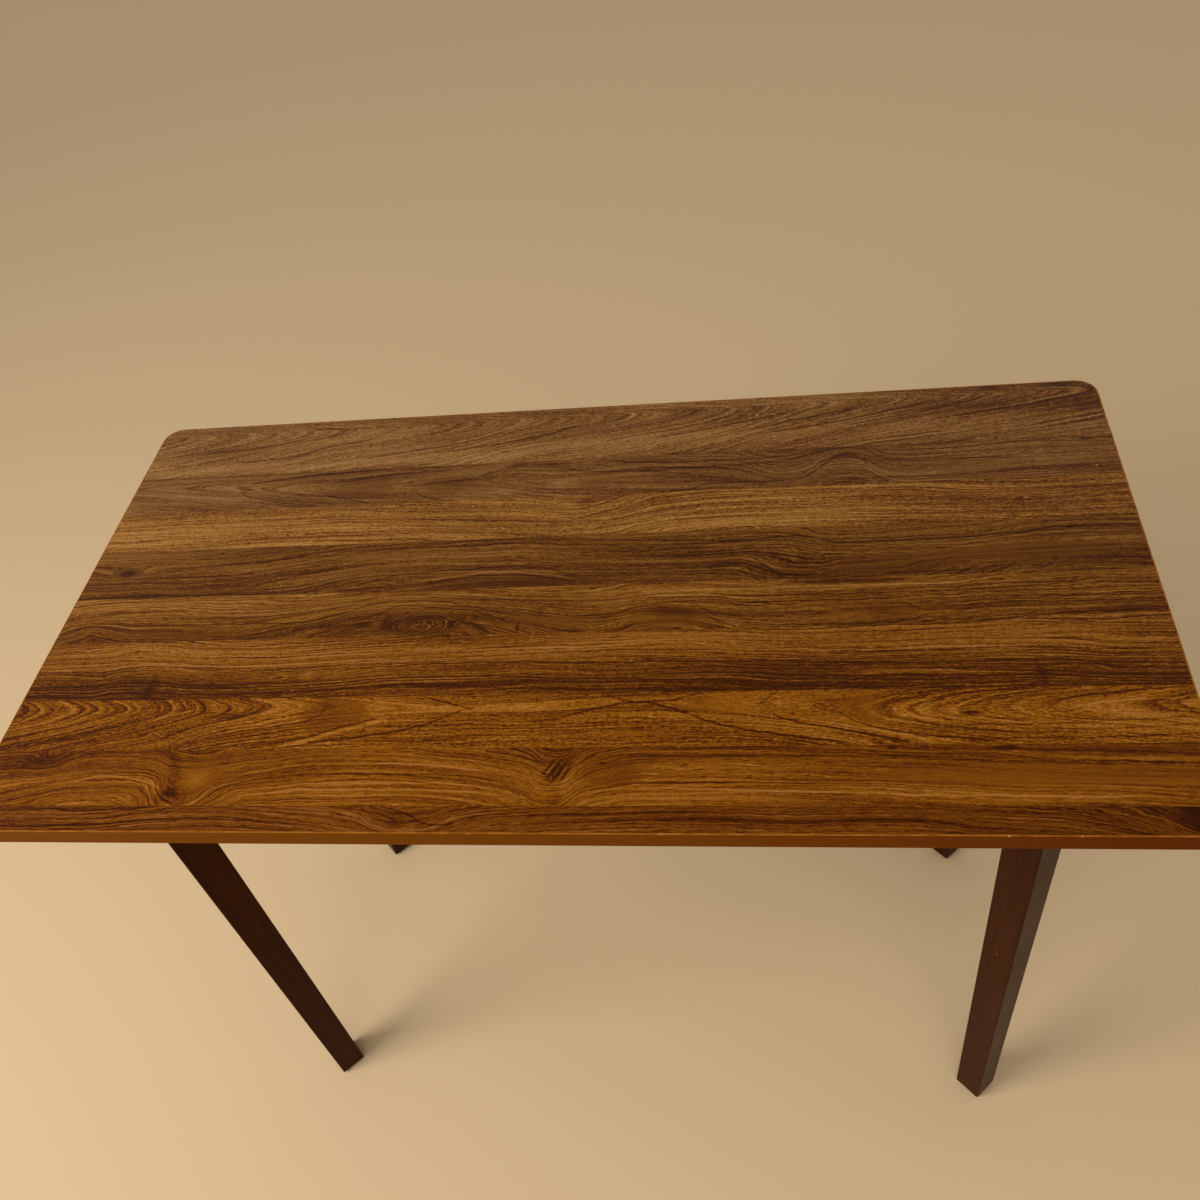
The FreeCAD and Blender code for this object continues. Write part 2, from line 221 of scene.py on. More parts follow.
# Layers of noise: scale along the grain, scale across it, step of the seed, detail, roughness.
wave_layer = (8.0, 45.0, 0.0, 1.0, 0.5)
quiver_layer = (45.0, 210.0, 5.0, 2.0, 0.6)
shear_layer = (60.0, 90.0, 7.0, 2.0, 0.5)
trace_layer = (40.0, 120.0, 6.0, 2.0, 0.5)
eye_layer = (80.0, 220.0, 70.0, 2.0, 0.5)
ring_layer = (1.5, 40.0, 10.0, 1.0, 0.5)
fibre_layer = (75.0, 900.0, 20.0, 3.0, 0.7)
broad_layer = (3.0, 26.0, 50.0, 2.0, 0.5)
band_layer = (2.2, 150.0, 60.0, 3.0, 0.6)
figure_layer = (5.0, 620.0, 15.0, 2.0, 0.6)
fleck_layer = (270.0, 760.0, 30.0, 1.0, 0.5)
pore_layer = (110.0, 1100.0, 40.0, 1.0, 0.5)

# How far the layers bend the grain, and how much they change the tone.
wave_swing = 12.0 * mm
quiver_swing = 3.5 * mm
shear_swing = 14.0 * mm
eye_swing = 0.8
ring_swing = 5.0
broad_gain = 0.75
figure_gain = 1.3
fibre_gain = 1.2
pore_gain = 0.2
pore_edge = [(0.60, 0.0), (0.70, 1.0)]

# A growth ring from one side to the other, the level it swings round, and the weight of the
# faintest ring. An eye is darker than the wood round it, with closer and stronger rings.
ring_profile = [(0.0, 0.2), (0.07, 0.0), (0.20, 0.35), (0.45, 0.60), (0.80, 0.75), (0.92, 1.0), (1.0, 0.2)]
ring_level = 0.58
faint_ring = 0.25
ring_seed_step = 31.0
eye_steepness = 2.2
eye_rim = 0.15
eye_depth = 0.12

# Calm stretches and pools rise past their limit, so that they are even inside. A trace keeps its
# full depth except near its ends.
calm_rise = 2.0
calm_limit = 0.85
calm_half_width = 10000.0
pool_rise = 1.8
pool_limit = 0.54
trace_fade = 0.12


def object_point(tree):
    """Point on the piece, in metres from the origin of the table."""
    return place(tree, "TexCoord").outputs["Object"]


def blend(tree, share, first, second):
    """Number between a first and a second one."""
    return place(tree, "Mix", {0: share, 2: first, 3: second}).outputs[0]


def noise(tree, x, y, layer, seed):
    """Noise of one layer, drawn out along the grain."""
    x_scale, y_scale, seed_step, detail, roughness = layer
    x_part = calc(tree, "MULTIPLY", x, x_scale)
    y_part = calc(tree, "MULTIPLY", y, y_scale)
    where = place(tree, "CombineXYZ", {0: x_part, 1: y_part, 2: seed + seed_step})
    texture = place(tree, "TexNoise", {
        "Vector": where.outputs[0], "Scale": 1.0, "Detail": detail, "Roughness": roughness})
    return texture.outputs[0]


def add_noise(tree, total, gain, texture):
    """Total with a noise added that swings both ways round nothing."""
    raised = calc(tree, "MULTIPLY_ADD", texture, gain, total)
    return calc(tree, "SUBTRACT", raised, 0.5 * gain)


def ramp(tree, value, stops):
    """Colour for a value, from (position, colour) stops."""
    node = place(tree, "ValToRGB", {0: value})
    elements = node.color_ramp.elements
    while len(elements) < len(stops):
        elements.new(0.5)
    for element, (position, colour) in zip(elements, stops):
        element.position = position
        element.color = (*colour, 1.0)
    return node.outputs["Color"]


def grey_ramp(tree, value, stops):
    """Grey for a value, from (position, level) stops."""
    return ramp(tree, value, [(position, (level, level, level)) for position, level in stops])


def scaled(colour, share):
    """Colour with a share of each of its parts."""
    return tuple(part * factor for part, factor in zip(colour, share))


def add_relief(tree, shader, height, strength, depth):
    """Fine relief on the surface that a shader shows."""
    bump = place(tree, "Bump", {"Height": height, "Strength": strength, "Distance": depth})
    tree.links.new(bump.outputs[0], shader.inputs["Normal"])


def curve(tree, value, points, unit):
    """Smooth curve through a few (place in mm, height) points, for a value in metres."""
    places = [mm * point[0] for point in points]
    heights = [unit * point[1] for point in points]
    start, reach = places[0], places[-1] - places[0]
    low, rise = min(heights), max(heights) - min(heights)
    node = place(tree, "FloatCurve", {"Value": remap(tree, value, start, start + reach)})
    line = node.mapping.curves[0]
    while len(line.points) < len(points):
        line.points.new(0.5, 0.5)
    for knot, where, height in zip(line.points, places, heights):
        knot.location = ((where - start) / reach, (height - low) / rise)
        knot.handle_type = "AUTO_CLAMPED"
    node.mapping.update()
    return calc(tree, "MULTIPLY_ADD", node.outputs[0], rise, low)


def spot(tree, plane, x, y, half_length, half_width, tilt, value, fall):
    """Value at the middle of a tilted ellipse in mm, falling to nothing at its rim."""
    inside = place(tree, "Mapping", {
        "Vector": plane, "Location": (mm * x, mm * y, 0.0), "Rotation": (0.0, 0.0, math.radians(tilt)),
        "Scale": (mm * half_length, mm * half_width, 1.0)}, vector_type="TEXTURE")
    radius = place(tree, "VectorMath", {0: inside.outputs[0]}, operation="LENGTH")
    return remap(tree, radius.outputs["Value"], 0.0, 1.0, value, 0.0, fall)


def trace_line(tree, x, y, points, half_width, depth):
    """Depth of a single line through (x, y) points in mm, which fades out at both ends."""
    apart = calc(tree, "ABSOLUTE", calc(tree, "SUBTRACT", y, curve(tree, x, points, mm)))
    along = remap(tree, x, mm * points[0][0], mm * points[-1][0])
    ends = calc(tree, "MULTIPLY", along, calc(tree, "SUBTRACT", 1.0, along))
    strength = remap(tree, ends, 0.0, trace_fade, 0.0, depth)
    return remap(tree, apart, 0.0, mm * half_width, strength, 0.0, SMOOTH)


def walnut_strip(number, body, ring, rings, shade, path, crown=None, steep=1.0, bow=None, calm=(),
                 spots=(), eyes=(), pools=(), traces=(), stains=(), painted_light_drift=(0.0, 0.0), fleck=0.7,
                 bands=1.05, figure=1.0):
    """Material of one strip, from its middle colour and the lie of its grain.

    The height counts growth rings across the strip, each as wide as ring and as strong as rings
    says. It follows the path along the table; a crown folds it into nested arches, whose back
    side is steep times steeper and which the bow opens; spots bend it, and eyes are round knots.
    The rings fade in the calm stretches. The shade is the tone across the strip. The drift is
    painted light, added to the tone from the left end of the table to the right end: most strips
    are paler at the left, where the light comes from, and darker to the right. Fleck, bands and
    figure are the strength of fine dots, of broad streaks and of fine ones.
    one tone, traces are single lines, and stains are places on the surface, dark or pale.
    """
    material, tree, shader = new_material(f"strip_{number}", sheet_roughness, sheet_gloss)
    parts = place(tree, "SeparateXYZ", {0: object_point(tree)}).outputs
    x = parts["X"]
    flat_y = parts["Y"]
    y = add_noise(tree, flat_y, wave_swing, noise(tree, x, flat_y, wave_layer, number))
    y = add_noise(tree, y, quiver_swing, noise(tree, x, y, quiver_layer, number))
    bent_x = add_noise(tree, x, shear_swing, noise(tree, x, flat_y, shear_layer, number))
    plane = place(tree, "CombineXYZ", {0: bent_x, 1: y}).outputs[0]
    traced_y = add_noise(tree, flat_y, quiver_swing, noise(tree, x, flat_y, trace_layer, number))
    surface = place(tree, "CombineXYZ", {0: x, 1: traced_y}).outputs[0]

    height = calc(tree, "SUBTRACT", y, curve(tree, x, path, mm))
    fibre = y if crown else height
    if crown:
        sloped = calc(tree, "MAXIMUM", height, calc(tree, "MULTIPLY", height, steep))
        squared = calc(tree, "MULTIPLY_ADD", sloped, sloped, (mm * crown) ** 2)
        height = calc(tree, "SUBTRACT", curve(tree, x, bow, mm), calc(tree, "SQRT", squared))
    for *ellipse, lift, fall in spots:
        bend = spot(tree, plane, *ellipse, mm * lift, fall)
        height = calc(tree, "ADD", height, bend)
        fibre = calc(tree, "ADD", fibre, bend)
    knots = 0.0
    for x_middle, y_middle, half_length, half_width, tilt in eyes:
        inward = spot(tree, plane, x_middle, y_middle, half_length, half_width, tilt, 1.0, LINEAR)
        ripple = add_noise(tree, 1.0, eye_swing, noise(tree, x, flat_y, eye_layer, number))
        inward = calc(tree, "MULTIPLY", inward, ripple)
        inside = remap(tree, inward, 0.0, eye_rim)
        knots = calc(tree, "MAXIMUM", knots, inside)
        round_height = calc(tree, "MULTIPLY", inward, eye_steepness * mm * half_width)
        height = blend(tree, inside, height, round_height)
        fibre = blend(tree, inside, fibre, round_height)

    wander = calc(tree, "MULTIPLY", noise(tree, x, height, ring_layer, number), ring_swing)
    turns = calc(tree, "MULTIPLY_ADD", height, 1.0 / (mm * ring), wander)
    ring_seed = calc(tree, "ADD", calc(tree, "FLOOR", turns), ring_seed_step * number)
    ring_weight = place(tree, "TexWhiteNoise", {"W": ring_seed}, noise_dimensions="1D").outputs[0]
    line_gain = calc(tree, "MULTIPLY_ADD", ring_weight, rings, faint_ring * rings)
    line_gain = calc(tree, "MULTIPLY", line_gain, calc(tree, "ADD", knots, 1.0))
    for x_middle, half_length in calm:
        stretch = spot(tree, plane, x_middle, 0.0, half_length, calm_half_width, 0.0, calm_rise, SMOOTH)
        stretch = calc(tree, "MINIMUM", stretch, calm_limit)
        line_gain = calc(tree, "MULTIPLY", line_gain, calc(tree, "SUBTRACT", 1.0, stretch))
    across_ring = grey_ramp(tree, calc(tree, "FRACT", turns), ring_profile)
    ring_tone = calc(tree, "MULTIPLY", line_gain, calc(tree, "SUBTRACT", across_ring, ring_level))

    fibres = noise(tree, x, fibre, fibre_layer, number)
    tone = calc(tree, "ADD", curve(tree, flat_y, shade, 1.0), ring_tone)
    # Painted light: the drift makes the tone fall along the table, paler at the left end where the light
    # comes from.
    tone = calc(tree, "ADD", tone, remap(tree, x, sheet_low.x, sheet_high.x, *painted_light_drift))
    tone = add_noise(tree, tone, broad_gain, noise(tree, x, fibre, broad_layer, number))
    tone = add_noise(tree, tone, bands, noise(tree, x, height, band_layer, number))
    tone = add_noise(tree, tone, figure_gain * figure, noise(tree, x, height, figure_layer, number))
    tone = add_noise(tree, tone, fibre_gain * figure, fibres)
    tone = add_noise(tree, tone, fleck, noise(tree, x, fibre, fleck_layer, number))
    pores = grey_ramp(tree, noise(tree, x, fibre, pore_layer, number), pore_edge)
    tone = calc(tree, "MULTIPLY_ADD", pores, -pore_gain, tone)
    tone = calc(tree, "MULTIPLY_ADD", knots, -eye_depth, tone)
    for *ellipse, level in pools:
        inside = spot(tree, surface, *ellipse, pool_rise, SMOOTH)
        tone = blend(tree, calc(tree, "MINIMUM", inside, pool_limit), tone, level)
    for trace in traces:
        tone = calc(tree, "SUBTRACT", tone, trace_line(tree, x, traced_y, *trace))
    for *ellipse, depth in stains:
        tone = calc(tree, "SUBTRACT", tone, spot(tree, surface, *ellipse, depth, SMOOTH))

    dark = scaled(body, dark_share)
    light = scaled(body, light_share)
    glint = tuple(map(sum, zip(scaled(body, glint_share), glint_bloom)))
    colours = [scaled(dark, deep_share), dark, body, light, glint]
    tree.links.new(ramp(tree, tone, list(zip(tone_stops, colours))), shader.inputs["Base Color"])
    add_relief(tree, shader, fibres, sheet_relief, sheet_relief_depth)
    return material


# The borders between the strips, and the strips from the back edge to the front. An ellipse is
# (x, y, half length, half width, tilt in degrees). A spot adds its lift and fall to that, a pool its
# tone and a stain its depth, and a trace is (points, half width, depth). A pale one is negative.
# Painted reflection: over the wood's own tone, the middle colours turn greyer and bluer from the front
# strips to the back ones. This stands in for the sheen of the pale room on the back of the top.
strip_borders = (190.0, 130.0, 69.0, -2.0, -63.0, -137.0, -196.0, -255.5)

# Strip 1, along the back edge: nested arches drawn out along the table.
strip_1 = dict(
    body=(0.167, 0.064, 0.0118), ring=8, rings=0.2, crown=15, steep=2.6, painted_light_drift=(0.11, -0.09), fleck=1.0,
    bands=0.7, figure=1.1,
    shade=[(190, 0.5), (205, 0.57), (235, 0.51), (262, 0.45), (282.5, 0.57)],
    path=[(-534, 262), (534, 267)],
    bow=[(-534, 105), (-300, 60), (-160, 36), (-80, 12), (0, 0), (120, -24), (220, -56), (534, -110)],
    calm=[(-470, 150)],
    traces=[
        ([(-430, 212), (-364, 218), (-310, 235), (-262, 245), (-246, 254)], 2.4, 0.48),
        ([(-351, 268), (-297, 266), (-256, 265), (-245, 257)], 2.0, 0.33),
        ([(-470, 232), (-390, 240), (-356, 248), (-338, 257)], 2.5, 0.33),
        ([(-270, 210), (-207, 219), (-150, 230), (-118, 241), (-102, 252)], 2.4, 0.46),
        ([(-188, 212), (-94, 227), (-53, 238), (-26, 249), (-10, 258)], 2.4, 0.4),
        ([(0, 218), (54, 228), (95, 236), (146, 252), (162, 263)], 2.4, 0.4),
        ([(54, 218), (140, 236), (205, 252), (224, 260)], 2.3, 0.4),
        ([(150, 222), (205, 236), (270, 252), (297, 265)], 2.3, 0.4),
        ([(176, 217), (257, 232), (346, 255), (378, 264)], 2.5, 0.46),
        ([(270, 225), (360, 245), (421, 263)], 2.3, 0.36),
        ([(365, 230), (459, 245), (534, 262)], 2.5, 0.46),
        ([(0, 271), (81, 274), (168, 270), (243, 273), (378, 266)], 1.6, -0.3)],
    stains=[(-500, 212, 16, 3, 0, 0.3), (425, 277, 18, 6, 0, 0.3), (495, 277, 26, 6, 0, 0.35),
        (-310, 253, 90, 14, 0, 0.14), (-230, 221, 130, 11, 6, -0.16)])

# Strip 2: slim nested arches at the left and a steep peak at the right.
strip_2 = dict(
    body=(0.138, 0.05, 0.0085), ring=6, rings=0.18, crown=6, painted_light_drift=(0.04, -0.08), bands=0.9,
    shade=[(130, 0.57), (160, 0.59), (190, 0.48)],
    path=[(-534, 174), (-400, 167), (-300, 160), (-100, 158), (-40, 152), (140, 148), (210, 128),
        (340, 126), (534, 122)],
    bow=[(-534, 0), (-400, 10), (-300, 20), (-200, 27), (-100, 33), (-40, 38), (60, 40), (200, 38),
        (232, 46), (266, 64), (300, 48), (340, 38), (450, 42), (534, 44)],
    pools=[(-255, 158, 44, 20, 0, 0.4), (-160, 157, 36, 18, 0, 0.4)],
    traces=[
        ([(-408, 168), (-383, 175), (-351, 180), (-310, 184), (-229, 189)], 2.0, 0.4),
        ([(-402, 164), (-393, 153), (-378, 148), (-351, 141), (-300, 131)], 2.0, 0.4),
        ([(-305, 160), (-297, 167), (-272, 172), (-202, 180), (-148, 182)], 1.9, 0.38),
        ([(-304, 158), (-300, 151), (-288, 145), (-267, 139), (-240, 131)], 1.9, 0.38),
        ([(-204, 158), (-160, 163), (-134, 166), (-108, 175), (-86, 185)], 1.9, 0.32),
        ([(-203, 154), (-188, 142), (-167, 134), (-146, 130)], 1.8, 0.32),
        ([(-72, 154), (-54, 145), (-26, 141), (30, 143)], 1.8, 0.23),
        ([(-54, 187), (-34, 176), (0, 169), (60, 165), (135, 150)], 1.9, 0.28),
        ([(0, 187), (54, 180), (113, 177), (205, 179), (230, 185), (252, 190)], 2.1, 0.36),
        ([(40, 175), (121, 168), (189, 170), (230, 179), (259, 187), (286, 190)], 2.0, 0.32),
        ([(214, 138), (232, 150), (249, 166), (266, 178), (284, 167), (297, 145)], 2.3, 0.34),
        ([(68, 129), (103, 132), (135, 141), (195, 140), (216, 141)], 1.9, 0.43),
        ([(286, 176), (311, 166), (346, 165), (440, 160)], 1.9, 0.26),
        ([(290, 185), (350, 180), (420, 184), (500, 190)], 1.9, 0.26),
        ([(235, 140), (324, 138), (405, 140), (473, 144), (534, 143)], 3.3, 0.23)],
    stains=[(-50, 183, 50, 10, 0, 0.22), (-32, 152, 34, 11, 0, -0.25), (-94, 143, 26, 8, 0, -0.2),
        (-392, 164, 7, 4, 0, 0.45), (-402, 166, 16, 6, -40, 0.25), (-203, 164, 6, 2.5, 0, 0.4),
        (-85, 184, 20, 8, 20, 0.3), (266, 177, 22, 5, 0, 0.3), (268, 146, 40, 16, 0, 0.12),
        (508, 185, 9, 3, 0, 0.5), (510, 143, 1.6, 1.6, 0, -1.5)])

# Strip 3: nearly straight grain that is bent at the middle of its back edge.
strip_3 = dict(
    body=(0.188, 0.066, 0.008), ring=5, rings=0.22, painted_light_drift=(0.11, -0.13), fleck=1.1, bands=0.9, figure=1.2,
    shade=[(69, 0.54), (86, 0.61), (104, 0.55), (130, 0.45)],
    path=[(-534, -2), (-300, 0), (-150, -5), (-50, -11), (0, -14), (50, -6), (100, 3), (160, 6), (250, 5),
        (400, -3), (534, -6)],
    spots=[(-5, 134, 85, 42, 0, 16, SMOOTH)],
    traces=[
        ([(-20, 92), (0, 97), (30, 108), (60, 119), (90, 130)], 2.0, 0.3),
        ([(-10, 108), (10, 114), (30, 124), (45, 132)], 2.0, 0.35),
        ([(0, 76), (40, 84), (90, 88), (180, 91)], 1.6, 0.25)],
    stains=[(0, 120, 18, 10, 15, 0.25)])

# Strip 4: dark, with a swirl right of the middle and a small knot at the left end.
strip_4 = dict(
    body=(0.12, 0.038, 0.003), ring=5, rings=0.26, painted_light_drift=(0.03, -0.06), figure=1.25,
    shade=[(-2, 0.36), (9, 0.43), (24, 0.54), (36, 0.53), (50, 0.47), (69, 0.53)],
    path=[(-534, -10), (-450, -12), (-380, -10), (-300, 0), (-200, 10), (-100, 12), (0, 6), (100, 4),
        (190, 6), (260, -6), (360, -5), (460, 6), (534, 4)],
    spots=[(-70, -12, 170, 42, 0, -14, SMOOTH), (205, 0, 60, 52, 0, 19, SMOOTH),
        (-490, 36, 50, 18, 0, 6, SMOOTH), (385, 12, 75, 20, 0, -14, LINEAR),
        (-300, 0, 100, 30, 20, 8, SMOOTH)],
    eyes=[(-490, 36, 16, 8, 0)],
    pools=[(-70, 5, 120, 11, 0, 0.36), (300, 12, 90, 16, 0, 0.4), (420, 26, 110, 14, 0, 0.44)],
    traces=[
        ([(0, 61), (108, 56), (151, 54), (211, 57), (257, 46), (338, 47), (427, 52), (470, 57), (538, 55)],
         1.5, 0.65),
        ([(-451, 39), (-399, 43), (-340, 48), (-270, 53), (-248, 58), (-175, 61), (-94, 67), (0, 63)],
         1.6, 0.42),
        ([(-486, 26), (-378, 28), (-310, 38), (-254, 47), (-238, 50)], 1.5, 0.42),
        ([(-359, 1), (-326, 15), (-275, 29), (-245, 39)], 1.5, 0.38),
        ([(-240, 6), (-200, 15), (-188, 21), (-121, 25), (-75, 27), (0, 12)], 1.4, 0.36),
        ([(-180, 3), (-166, 9), (-118, 17), (-86, 20), (-40, 16), (4, 5)], 1.6, -0.5),
        ([(-160, 4), (-118, 13), (-86, 16), (-40, 12), (0, 2)], 1.6, 0.38),
        ([(167, 37), (173, 27), (184, 15), (197, 6), (222, 2)], 1.8, 0.3),
        ([(186, 40), (195, 27), (208, 16), (245, 9)], 1.6, 0.28),
        ([(200, 51), (216, 39), (230, 33), (262, 30)], 1.5, 0.34),
        ([(340, 28), (378, 35), (432, 39), (538, 42)], 1.8, -0.34),
        ([(290, 1), (345, 3), (372, 2)], 1.4, 0.38), ([(430, 1), (446, 10), (452, 20)], 1.4, 0.34)],
    stains=[(-490, 36, 16, 9, 0, 0.3), (-60, 3, 140, 12, 0, 0.16), (140, 18, 30, 12, 20, 0.12),
        (190, 40, 90, 24, 0, -0.08)])

# Strip 5: pale at the back, with a large eye and, to its right, two smooth lenses.
strip_5 = dict(
    body=(0.148, 0.0465, 0.003), ring=4, rings=0.62, painted_light_drift=(0.03, -0.06), bands=0.9, figure=1.35,
    shade=[(-63, 0.4), (-45, 0.42), (-28, 0.52), (-14, 0.64), (-2, 0.6)],
    path=[(-534, -4), (-450, 1), (-320, -4), (-250, -1), (-150, 4), (0, -4), (90, 3), (200, -4),
        (350, -1), (450, 4), (534, 4)],
    calm=[(95, 80), (270, 90)],
    spots=[(-150, -60, 200, 62, 0, -36, SMOOTH), (92, -50, 80, 26, 0, -8, SMOOTH),
        (285, -46, 60, 14, 0, -6, SMOOTH), (-495, -50, 45, 24, 0, -10, LINEAR)],
    eyes=[(-147, -49, 42, 15, 0)],
    pools=[(95, -47, 54, 17, 0, 0.45), (280, -48, 62, 14, 0, 0.47), (-400, -52, 110, 11, 0, 0.43),
        (-25, -51, 60, 12, 0, 0.46)],
    traces=[
        ([(-451, -31), (-351, -33), (-297, -31), (-229, -20), (-172, -8), (-134, -14), (-80, -18),
          (0, -22)], 1.3, 0.36),
        ([(-445, -41), (-297, -42), (-229, -29), (-170, -16), (-107, -25), (-53, -40), (-36, -43)],
         1.4, 0.42),
        ([(-224, -46), (-191, -31), (-170, -23), (-134, -27), (-102, -31), (-75, -41), (-50, -51)],
         1.4, 0.38),
        ([(0, -42), (40, -40), (73, -30), (98, -28), (130, -41), (146, -56)], 1.4, 0.42),
        ([(162, -30), (230, -36), (300, -36), (322, -44), (333, -48)], 1.3, 0.3),
        ([(290, -61), (319, -55), (333, -48)], 1.3, 0.3),
        ([(0, -25), (81, -21), (243, -23), (405, -20), (454, -16), (500, -8)], 1.5, 0.4),
        ([(200, -5), (255, -8), (320, -6)], 2.0, 0.4),
        ([(351, -62), (459, -53), (538, -51)], 1.5, 0.5),
        ([(-530, -10), (-300, -10), (0, -11)], 1.2, -0.3),
        ([(-530, -17), (-300, -16), (-220, -12)], 1.2, -0.25),
        ([(-500, -26), (-400, -24), (-300, -24), (-230, -17)], 1.3, -0.25),
        ([(0, -12), (534, -13)], 1.4, -0.35)],
    stains=[(-150, -48, 52, 20, 0, 0.22), (-141, -47, 5, 3, 0, 0.5), (-147, -39, 34, 4, 0, 0.3),
        (-183, -48, 10, 14, 0, 0.3), (-116, -50, 8, 10, 0, 0.25), (-96, -50, 26, 5, -25, 0.45),
        (-208, -47, 16, 5, 0, 0.4), (-240, -48, 34, 4, 3, 0.25), (-51, -55, 3, 10, 0, 0.35),
        (98, -41, 46, 13, -8, 0.26), (138, -52, 16, 3, -30, 0.3), (290, -47, 44, 10, -4, 0.18),
        (-480, -20, 20, 3, 0, 0.3), (-440, -19, 100, 13, 0, 0.2), (262, -7, 90, 8, 0, 0.34),
        (-120, -8, 130, 10, 0, -0.14)])

# Strip 6: straight grain, pale at the back and dark at the front.
strip_6 = dict(
    body=(0.152, 0.044, 0.0018), ring=4, rings=0.75, painted_light_drift=(0.03, -0.07), fleck=0.9, bands=0.85,
    figure=1.15,
    shade=[(-137, 0.2), (-124, 0.25), (-112, 0.37), (-99, 0.58), (-88, 0.69), (-78, 0.68), (-63, 0.6)],
    path=[(-534, -4), (-470, -4), (-430, 1), (-390, 0), (-340, -4), (-250, -2), (-120, 5), (0, 7),
        (120, 5), (260, -1), (410, 0), (480, -4), (534, -6)],
    traces=[
        ([(-538, -98), (-465, -98), (-420, -93), (-385, -95), (-300, -97), (-250, -94)], 1.8, -0.45),
        ([(-538, -101), (-465, -101), (-420, -96), (-385, -98), (-300, -100)], 1.5, 0.3),
        ([(-538, -119), (-470, -118), (-425, -112), (-380, -118), (-290, -126)], 1.5, 0.35),
        ([(-538, -130), (-450, -128), (-400, -126), (-340, -131)], 1.6, 0.3),
        ([(-400, -80), (-320, -87), (-250, -79), (-150, -75), (0, -75)], 1.3, 0.25),
        ([(-300, -90), (-200, -84), (-100, -82), (60, -82)], 2.4, -0.4),
        ([(-270, -105), (-200, -102), (-60, -98), (0, -100), (150, -102), (250, -106), (340, -108),
          (410, -106), (470, -112), (538, -113)], 1.5, 0.5),
        ([(-290, -127), (-200, -119), (-110, -114), (0, -119), (150, -124), (220, -128)], 1.4, 0.35),
        ([(-290, -134), (-150, -127), (0, -131), (150, -135)], 1.4, 0.3),
        ([(230, -91), (300, -94), (405, -91.5), (470, -96), (538, -98)], 1.3, 0.45)],
    stains=[(-403, -123, 9, 20, -8, 0.35), (-425, -116, 26, 18, 0, 0.15), (416, -124, 8, 18, 0, 0.32),
        (424, -93.5, 18, 1.8, -3, 0.4)])

# Strip 7: arches that point at each other from both ends, with crossing lines between.
strip_7 = dict(
    body=(0.174, 0.0485, 0.0012), ring=4, rings=0.66, crown=12, painted_light_drift=(-0.06, 0.03), fleck=1.2, bands=0.9,
    figure=1.15,
    shade=[(-196, 0.5), (-150, 0.53), (-137, 0.5)],
    path=[(-534, -149), (-250, -148), (-80, -152), (100, -147), (200, -150), (350, -158), (534, -156)],
    bow=[(-534, 84), (-400, 54), (-262, 20), (-165, 12), (-85, 10), (85, 10), (180, 14), (240, 18),
        (300, 28), (420, 46), (534, 60)],
    calm=[(12, 300), (420, 200)],
    eyes=[(353, -163, 9, 3.5, 0)],
    pools=[(-208, -158, 42, 26, 0, 0.43), (264, -160, 24, 24, 12, 0.47), (140, -152, 40, 14, 0, 0.54)],
    traces=[
        ([(-10, -168), (24, -157), (46, -151), (70, -147), (100, -146), (115, -142), (134, -136)],
         1.8, 0.55),
        ([(34, -134), (58, -145), (84, -149), (108, -158), (151, -175), (205, -186), (265, -196)],
         1.8, 0.6),
        ([(-134, -136), (-108, -144), (-84, -151), (-74, -153)], 1.6, 0.55),
        ([(-260, -196), (-202, -186), (-162, -180), (-124, -171), (-94, -157), (-84, -152), (-66, -148)],
         1.8, 0.6),
        ([(-256, -194), (-229, -187), (-202, -177), (-175, -169), (-152, -160)], 4.0, -0.4),
        ([(-289, -195), (-229, -183), (-202, -173), (-175, -165), (-160, -157)], 1.6, 0.38),
        ([(-240, -166), (-226, -160), (-219, -152), (-215, -142)], 1.4, 0.4),
        ([(-392, -165), (-367, -155), (-350, -150), (-345, -146)], 1.5, -0.6),
        ([(178, -151), (186, -157), (193, -165), (243, -179), (303, -193)], 1.7, 0.6),
        ([(177, -151), (185, -144), (196, -136)], 1.5, 0.45),
        ([(234, -146), (239, -154), (246, -163), (276, -178), (338, -189), (385, -193)], 1.6, 0.5),
        ([(240, -160), (262, -174), (300, -187), (350, -193)], 4.0, -0.25),
        ([(286, -151), (297, -160), (316, -174), (378, -183), (440, -185)], 1.5, 0.45),
        ([(315, -153), (322, -163), (359, -176), (460, -175)], 1.5, 0.45),
        ([(285, -152), (300, -143), (350, -137)], 1.5, 0.45),
        ([(314, -154), (332, -145), (410, -137)], 1.5, 0.5),
        ([(338, -158), (352, -149), (395, -143), (445, -138)], 1.4, 0.45),
        ([(340, -156), (352, -166), (400, -172)], 1.4, 0.35),
        ([(352, -157), (372, -149), (420, -144)], 1.3, 0.3),
        ([(413, -162), (430, -150), (475, -143), (538, -138)], 1.6, 0.5),
        ([(412, -160), (420, -169), (480, -172), (538, -169)], 1.5, 0.4),
        ([(424, -163), (450, -155), (538, -149)], 1.5, -0.35),
        ([(392, -179), (440, -181), (538, -176)], 1.4, 0.35),
        ([(300, -188), (400, -190), (538, -187)], 1.4, 0.35)],
    stains=[(180, -150, 75, 18, 0, -0.16), (-60, -183, 90, 10, 0, -0.16), (-215, -152, 50, 30, 0, 0.12),
        (-310, -158, 50, 8, 0, 0.25), (-10, -166, 24, 6, 8, 0.3), (353, -163, 9, 2.4, 0, 0.9),
        (-466, -183, 18, 2, 0, 0.45), (471, -190, 4, 1.6, 0, 0.7)])

